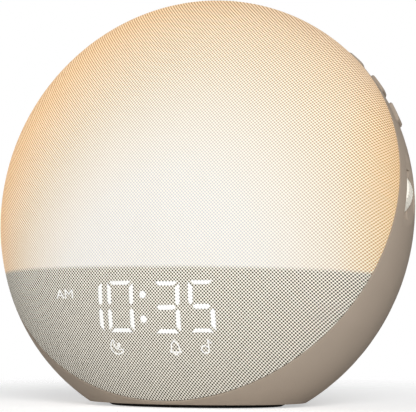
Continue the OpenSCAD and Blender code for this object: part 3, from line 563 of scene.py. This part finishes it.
def rampBy(tree, distance, column):  # one column of the glow's list as a colour ramp
    ramp = put(tree, "ShaderNodeValToRGB", {0: distance})
    while len(ramp.color_ramp.elements) < len(cloth["glow"]):
        ramp.color_ramp.elements.new(0.5)
    for stop, row in zip(ramp.color_ramp.elements, cloth["glow"]):
        stop.position = row[0] / cloth["glowSpan"]
        stop.color = (*row[column], 1)
    return ramp.outputs[0]


def glowDistance(tree, relative):  # how far from the glow's middle, in turned ellipses
    reach = {
        "Vector": relative,
        "Location": cloth["glowMiddle"],
        "Rotation": (0, cloth["glowTurn"], 0),
        "Scale": cloth["glowReach"],
    }
    turned = put(tree, "ShaderNodeMapping", reach, vector_type="TEXTURE").outputs[0]
    flat = vectorCalc(tree, "MULTIPLY", turned, (1.0, 0.0, 1.0))
    return calc(tree, "DIVIDE", measure(tree, "LENGTH", flat), cloth["glowSpan"])


def clothMaterial():
    material, tree, place, shader = newMaterial("frontKnit")
    woven = groupIn(tree, knitGroup, Vector=place)
    thread = ranged(tree, woven["Thread"], knit["threadFrom"], knit["threadFull"], kind="SMOOTHSTEP")
    relative = vectorCalc(tree, "SUBTRACT", place, middle)
    lineReach = measure(tree, "DOT_PRODUCT", relative, cloth["lightLine"])
    lineFrom, lineTo = cloth["lightLineAt"] - cloth["lightSoft"], cloth["lightLineAt"] + cloth["lightSoft"]
    lit = ranged(tree, lineReach, lineFrom, lineTo, kind="SMOOTHSTEP")
    distance = glowDistance(tree, relative)
    across = put(tree, "ShaderNodeSeparateXYZ", {0: relative}).outputs["X"]
    leftward = ranged(tree, across, *cloth["left"], cloth["leftGain"], 1.0)
    rightward = calc(tree, "MULTIPLY", ranged(tree, across, *cloth["right"]), lit)
    tone = scaled(tree, knit["threadColour"], spread(tree, woven["Fuzz"], *knit["fuzzTone"]))
    # painted glow: in the lit zone the threads' own colour takes the glow's tint
    tone = vectorCalc(tree, "MULTIPLY", tone, mixTone(tree, lit, white, rampBy(tree, distance, 3)))
    # painted glow warms the lit threads' colour towards the right rim
    tone = vectorCalc(tree, "MULTIPLY", tone, mixTone(tree, rightward, white, cloth["rightThreadsPaintedGlow"]))
    light = mixTone(tree, thread, rampBy(tree, distance, 1), rampBy(tree, distance, 2))
    light = vectorCalc(tree, "MULTIPLY", light, mixTone(tree, rightward, white, cloth["rightLight"]))
    light = scaled(tree, light, calc(tree, "MULTIPLY", lit, leftward))
    # threads over painted dark holes, partly painted shade
    tree.links.new(mixTone(tree, thread, knit["holeDarkPartsAndShade"], tone), shader["Base Color"])
    tree.links.new(light, shader["Emission Color"])
    shader["Emission Strength"].default_value = 1.0
    shader["Roughness"].default_value = knit["roughness"]
    shader["Specular IOR Level"].default_value = knit["gloss"]
    shader["Sheen Weight"].default_value = knit["sheen"]
    shader["Sheen Tint"].default_value = knit["sheenTint"]
    shader["Sheen Roughness"].default_value = knit["sheenRoughness"]
    addBump(tree, shader, woven["Height"], knit["relief"], knit["reliefStrength"])
    return material


def cutAtSeam(bm, reach, clear=False):  # a cut beside the seam, at this reach beyond the cloth's edge
    bmesh.ops.bisect_plane(
        bm,
        geom=bm.verts[:] + bm.edges[:] + bm.faces[:],
        dist=cloth["weld"],
        plane_co=middle + seamNormal * (bodyForm["clothEdge"] + reach),
        plane_no=seamNormal,
        clear_inner=clear,
    )


def buildCloth():
    mesh = bpy.data.meshes.new("frontCloth")
    bm = bmesh.new()
    bmesh.ops.create_uvsphere(bm, u_segments=cloth["turns"], v_segments=cloth["rings"], radius=1.0)
    bmesh.ops.scale(bm, verts=bm.verts, vec=(bodyForm["radius"], bodyForm["radius"], bodyForm["halfThick"]))
    bmesh.ops.rotate(bm, verts=bm.verts, cent=(0, 0, 0), matrix=Matrix.Rotation(math.pi / 2 - lean, 3, "X"))
    bmesh.ops.translate(bm, verts=bm.verts, vec=middle)
    cutAtSeam(bm, 0.0, clear=True)
    for cut in cloth["hemCuts"]:
        cutAtSeam(bm, cut)
    for vert in bm.verts:
        normal, off = formNormal(vert.co)
        reach = (vert.co - middle).dot(seamNormal) - bodyForm["clothEdge"]
        drawn = max(0.0, 1 - reach / cloth["edgeReach"]) ** 2 * cloth["edgeInset"]
        turned = min(1.0, max(0.0, 1 - reach / cloth["hem"]))
        drawn += cloth["hem"] * (1 - math.sqrt(1 - turned * turned)) * cloth["hemDepth"]
        vert.co -= normal * drawn
    area = sum(face.calc_area() for face in bm.faces)
    bmesh.ops.recalc_face_normals(bm, faces=bm.faces)
    bmesh.ops.solidify(bm, geom=bm.faces[:], thickness=cloth["thickness"])
    for face in bm.faces:
        face.smooth = True
    for edge in bm.edges:
        edge.smooth = edge.calc_face_angle(0.0) < math.radians(cloth["sharpAngle"])
    bm.to_mesh(mesh)
    bm.free()
    piece = addPiece("frontCloth", mesh, "clock", clothMaterial(), ["front_cloth"])
    return area


print("front cloth ready, square metres:", round(buildCloth(), 5))

display = {
    "digitHigh": 0.00758,  # from a digit's middle to the middle of its top segment
    "postStroke": 0.0016,
    "barStroke": 0.0014,
    "middleStroke": 0.0017,
    "gap": 0.00075,
    "slant": 4.0,  # degrees
    "segmentGrid": (14, 4),
    "digits": [  # segments, middle, middle's height, width between the posts' middles
        ("bc", -0.0192, -0.0321, 0.0082),
        ("abcdef", -0.0075, -0.0321, 0.0082),
        ("abcdg", 0.0088, -0.0324, 0.0077),
        ("acdfg", 0.0204, -0.0321, 0.0070),
    ],
    "colonAt": (0.00072, -0.0322),
    "colonPitch": 0.0078,
    "dotRadius": 0.0012,
    "dotSides": 24,
    "dotRim": 0.85,
    "dayText": "AM",
    "dayBox": (-0.0337, -0.0262, -0.0293, -0.0264),  # left, right, low, high
    "dayThin": -0.006,
    "textFineness": 6,
    "textWeld": 1e-5,
    "proud": 0.00006,
    "depth": 0.0001,
    "colour": (0.2, 0.2, 0.195, 1),
    "roughness": 0.6,
    "glow": {"colour": (1.0, 1.0, 0.985, 1), "strength": 0.8},
    "frayStart": 0.8,  # where the weave begins to bite into a segment's rim
    "frayReach": 0.5,
    "fraySoft": 0.15,
    "signWeave": (0.3, 0.6, 0.92, 1.0),  # from bare to full thread, and the cover at each
}


def displayMaterial(name, frayed):
    material = plastic(name, display["colour"], display["roughness"], glow=display["glow"])
    tree = material.node_tree
    place = put(tree, "ShaderNodeTexCoord").outputs["Object"]
    woven = groupIn(tree, knitGroup, Vector=place)
    if frayed:
        rim = put(tree, "ShaderNodeAttribute", attribute_name="rim").outputs["Fac"]
        bite = calc(tree, "MULTIPLY_ADD", woven["Thread"], display["frayReach"], display["frayStart"])
        cover = ranged(tree, calc(tree, "SUBTRACT", bite, rim), 0.0, display["fraySoft"])
    else:
        cover = ranged(tree, woven["Thread"], *display["signWeave"])
    shader = next(node for node in tree.nodes if node.type == "BSDF_PRINCIPLED")
    tree.links.new(cover, shader.inputs["Alpha"])
    return material


digitLight = displayMaterial("digitLight", True)
signLight = displayMaterial("signLight", False)


def layOnDome(bm):  # x and y of a flat drawing become across and up on the dome, and z stays depth
    for vert in bm.verts:
        x, z, depth = vert.co
        vert.co = Vector((x, frontY(x, z) - display["proud"] - depth, z + middle.z))


def segmentPlaces(width):
    high, half = display["digitHigh"], width / 2
    bar, post, centre = display["barStroke"], display["postStroke"], display["middleStroke"]
    return {  # middle, length, stroke, upright, outer side, start mitred, end mitred
        "a": (0, high, width, bar, False, 1, True, True),
        "b": (half, high / 2, high, post, True, -1, False, True),
        "c": (half, -high / 2, high, post, True, -1, True, False),
        "d": (0, -high, width, bar, False, -1, True, True),
        "e": (-half, -high / 2, high, post, True, 1, True, False),
        "f": (-half, high / 2, high, post, True, 1, False, True),
        "g": (0, 0, width, centre, False, 1, False, False),
    }


def addSegment(bm, rimLayer, shift, row, x, y, length, stroke, upright, outer, mitredStart, mitredEnd):
    tip = length / 2 - display["gap"] / math.sqrt(2)
    half = stroke / 2
    steps, rows = display["segmentGrid"]
    stretch = Matrix.Diagonal((2 * tip, 2 * half, 1, 1))
    made = bmesh.ops.create_grid(bm, x_segments=steps, y_segments=rows, size=0.5, matrix=stretch)["verts"]
    for vert in made:
        across = vert.co.y / half
        mitred = mitredEnd if vert.co.x > 0 else mitredStart
        reach = tip + half * (outer * across if mitred else -abs(across))
        vert.co.x *= reach / tip
        vert[rimLayer] = max(abs(across), (abs(vert.co.x) - reach + half) / half)
    if upright:
        bmesh.ops.rotate(bm, verts=made, cent=(0, 0, 0), matrix=Matrix.Rotation(math.pi / 2, 3, "Z"))
    bmesh.ops.translate(bm, verts=made, vec=(x, y, 0))
    slant = math.tan(math.radians(display["slant"]))
    for vert in made:
        vert.co.x += vert.co.y * slant
    bmesh.ops.translate(bm, verts=made, vec=(shift, row, 0))


def finishFlat(name, bm, material):
    bmesh.ops.recalc_face_normals(bm, faces=bm.faces)
    for face in bm.faces:
        if face.normal.z < 0:
            face.normal_flip()
    bmesh.ops.solidify(bm, geom=bm.faces[:], thickness=display["depth"])
    layOnDome(bm)
    bmesh.ops.recalc_face_normals(bm, faces=bm.faces)
    mesh = bpy.data.meshes.new(name)
    bm.to_mesh(mesh)
    bm.free()
    return addPiece(name, mesh, "clock", material)


def buildDigits():
    bm = bmesh.new()
    rimLayer = bm.verts.layers.float.new("rim")
    for letters, shift, row, width in display["digits"]:
        places = segmentPlaces(width)
        for letter in letters:
            addSegment(bm, rimLayer, shift, row, *places[letter])
    finishFlat("timeDigits", bm, digitLight)
    bm = bmesh.new()
    rimLayer = bm.verts.layers.float.new("rim")
    at, row = display["colonAt"]
    for side in (-1, 1):
        x = at + side * display["colonPitch"] / 2 * math.tan(math.radians(display["slant"]))
        spot = Matrix.Translation((x, row + side * display["colonPitch"] / 2, 0))
        dot = {"segments": display["dotSides"], "radius": display["dotRadius"], "matrix": spot}
        made = bmesh.ops.create_circle(bm, cap_ends=True, cap_tris=True, **dot)
        for vert in made["verts"]:
            vert[rimLayer] = display["dotRim"] * (vert.co - spot.translation).length / display["dotRadius"]
    finishFlat("timeColon", bm, digitLight)


def flatText(words, box, thin):
    left, right, low, high = box
    data = bpy.data.curves.new(words, "FONT")
    data.body = words
    data.offset = thin
    data.resolution_u = display["textFineness"]
    carrier = bpy.data.objects.new(words, data)
    mesh = bpy.data.meshes.new_from_object(carrier)
    bpy.data.objects.remove(carrier)
    bm = bmesh.new()
    bm.from_mesh(mesh)
    bpy.data.meshes.remove(mesh)
    bmesh.ops.remove_doubles(bm, verts=bm.verts, dist=display["textWeld"])
    xs = [v.co.x for v in bm.verts]
    ys = [v.co.y for v in bm.verts]
    scaleX = (right - left) / (max(xs) - min(xs))
    scaleY = (high - low) / (max(ys) - min(ys))
    for vert in bm.verts:
        x, y, depth = vert.co
        vert.co = Vector((left + (x - min(xs)) * scaleX, low + (y - min(ys)) * scaleY, 0))
    return bm


signs = {
    "lineWidth": 0.00042,
    "sunk": 0.25,  # of the line's width
    "fineness": 6,
    "roundness": 2,
    "drawings": {  # place, then lines as closed or not with points in millimetres
        "moonSign": ((-0.0110, -0.0450), [
            (True, [(-1.0, 2.1), (-2.2, 0.9), (-2.3, -0.9), (-1.0, -2.2), (0.8, -2.2), (2.1, -1.0), (0.8, -0.9),
                    (-0.7, -0.2), (-1.1, 0.9)]),
            (False, [(0.1, 0.9), (1.2, 0.9), (0.2, 0.0), (1.3, 0.0)]),
        ]),
        "bellSign": ((0.0099, -0.0450), [
            (False, [(-1.9, -1.6), (-1.35, -0.8), (-1.2, 0.5), (-0.6, 1.5), (0, 1.75), (0.6, 1.5), (1.2, 0.5),
                     (1.35, -0.8), (1.9, -1.6)]),
            (False, [(-1.9, -1.6), (1.9, -1.6)]),
            (False, [(-0.7, -1.8), (0, -2.5), (0.7, -1.8)]),
            (False, [(0, 1.75), (0, 2.4)]),
        ]),
        "noteSign": ((0.0199, -0.0448), [
            (True, [(0.9, -0.9), (-0.3, 0.3), (-1.5, -0.9), (-0.3, -2.1)]),
            (False, [(0.9, -0.9), (0.95, 2.2)]),
            (False, [(0.95, 2.3), (1.4, 1.5), (2.0, 1.0)]),
        ]),
    },
}


def drawnSign(name, at, lines):  # a sign drawn with round lines
    data = bpy.data.curves.new(name, "CURVE")
    data.dimensions = "3D"
    data.bevel_depth = signs["lineWidth"] / 2
    data.bevel_resolution = signs["roundness"]
    data.resolution_u = signs["fineness"]
    data.use_fill_caps = True
    for closed, points in lines:
        spline = data.splines.new("BEZIER")
        spline.bezier_points.add(len(points) - 1)
        for knot, (x, y) in zip(spline.bezier_points, points):
            sunk = signs["lineWidth"] * signs["sunk"]
            knot.co = (x / perMillimetre + at[0], y / perMillimetre + at[1], -sunk)
            knot.handle_left_type = knot.handle_right_type = "AUTO"
        spline.use_cyclic_u = closed
    carrier = bpy.data.objects.new(name, data)
    mesh = bpy.data.meshes.new_from_object(carrier)
    bpy.data.objects.remove(carrier)
    bm = bmesh.new()
    bm.from_mesh(mesh)
    layOnDome(bm)
    bmesh.ops.recalc_face_normals(bm, faces=bm.faces)
    for face in bm.faces:
        face.smooth = True
    bm.to_mesh(mesh)
    bm.free()
    mesh.name = name
    return addPiece(name, mesh, "clock", signLight)


buildDigits()
finishFlat("dayMark", flatText(display["dayText"], display["dayBox"], display["dayThin"]), signLight)
for name, (at, lines) in signs["drawings"].items():
    drawnSign(name, at, lines)
print("display ready")
